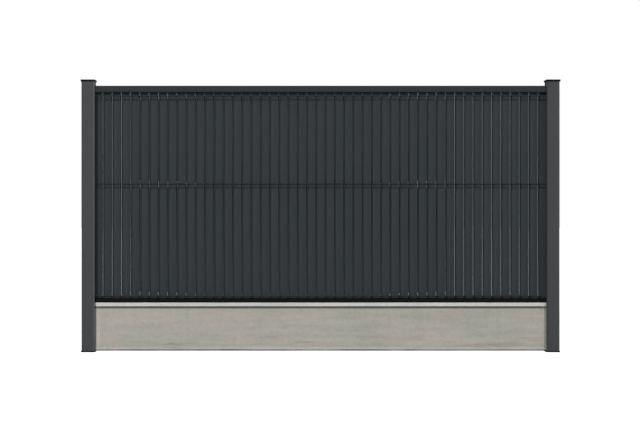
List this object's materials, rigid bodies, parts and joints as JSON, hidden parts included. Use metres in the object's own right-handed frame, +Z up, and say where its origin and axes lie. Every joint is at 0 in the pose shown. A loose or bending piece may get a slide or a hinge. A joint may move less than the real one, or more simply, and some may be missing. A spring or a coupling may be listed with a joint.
{
  "type": "rigid mesh fence panel",
  "caption": "Straight fence bay: folded welded wire mesh filled with upright privacy slats, under a top rail and over a concrete plinth board, between slotted, capped posts.",
  "frame": {"origin": "underside of the left post's foot cap, at the post's centre", "axes": "+X along the fence towards the right post, front of the fence towards -Y, +Z up"},
  "size_m": [2.58, 0.08, 1.465],
  "materials": {
    "post_coating": "fine textured powder coat, satin",
    "rail_coating": "fine textured powder coat, satin",
    "wire_coating": "plastic coated over galvanised steel, satin",
    "slat_plastic": "matt extruded PVC",
    "cap_plastic": "moulded, fine grained",
    "channel_plastic": "matt extruded",
    "concrete": "cast concrete, smooth from the mould, with fine pits"
  },
  "bodies": {
    "root": {"left_post": "post_coating", "right_post": "post_coating", "left_post_cap": "cap_plastic", "right_post_cap": "cap_plastic", "left_foot_cap": "cap_plastic", "right_foot_cap": "cap_plastic", "plinth_board": "concrete", "foot_channel": "channel_plastic", "top_rail": "rail_coating", "mesh_part_1": "wire_coating", "mesh_part_2": "wire_coating", "mesh_part_3": "wire_coating", "mesh_part_4": "wire_coating", "slat_set_1": "slat_plastic", "slat_set_2": "slat_plastic", "slat_set_3": "slat_plastic", "slat_set_4": "slat_plastic", "slat_set_5": "slat_plastic", "slat_set_6": "slat_plastic", "slat_set_7": "slat_plastic"}
  },
  "joints": []
}
